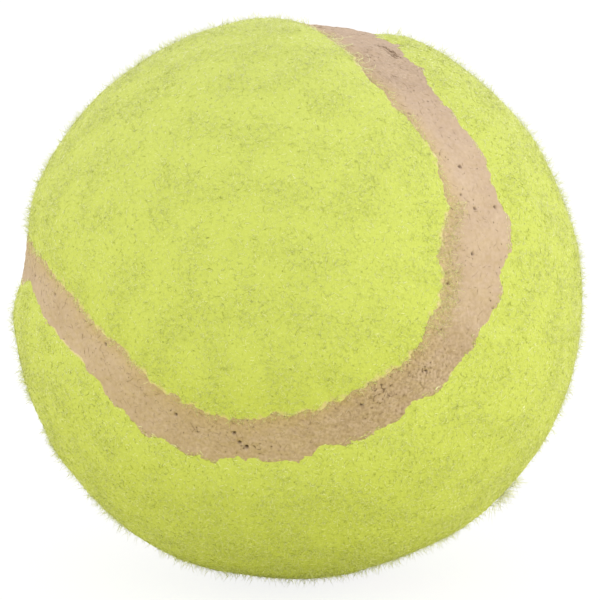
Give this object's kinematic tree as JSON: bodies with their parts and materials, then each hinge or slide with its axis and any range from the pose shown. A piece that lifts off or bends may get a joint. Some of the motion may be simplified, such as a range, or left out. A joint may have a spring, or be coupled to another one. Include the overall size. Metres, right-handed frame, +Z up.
{
  "type": "tennis ball",
  "caption": "Hollow rubber ball covered with a pair of interlocking yellow-green felt panels, joined by a curving tan rubber seam; it bounces, rolls and is thrown or struck.",
  "frame": {"origin": "centre of the ball", "axes": "+Z up, square to the core's level joint; -Y faces the viewer; +X to the viewer's right"},
  "size_m": [0.067, 0.067, 0.067],
  "materials": {
    "core_rubber": "moulded, dull",
    "core_cement": "cured cement, dull",
    "panel_cement": "cured film, dull",
    "felt": "needled wool and nylon felt, napped",
    "seam_rubber": "cured, matt, with pores"
  },
  "bodies": {
    "root": {"core_half_upper": "core_rubber", "core_half_lower": "core_rubber", "core_joint_cement": "core_cement", "panel_cement_a": "panel_cement", "panel_cement_b": "panel_cement", "felt_panel_a": "felt", "felt_panel_b": "felt", "seam_rubber": "seam_rubber"}
  },
  "joints": []
}
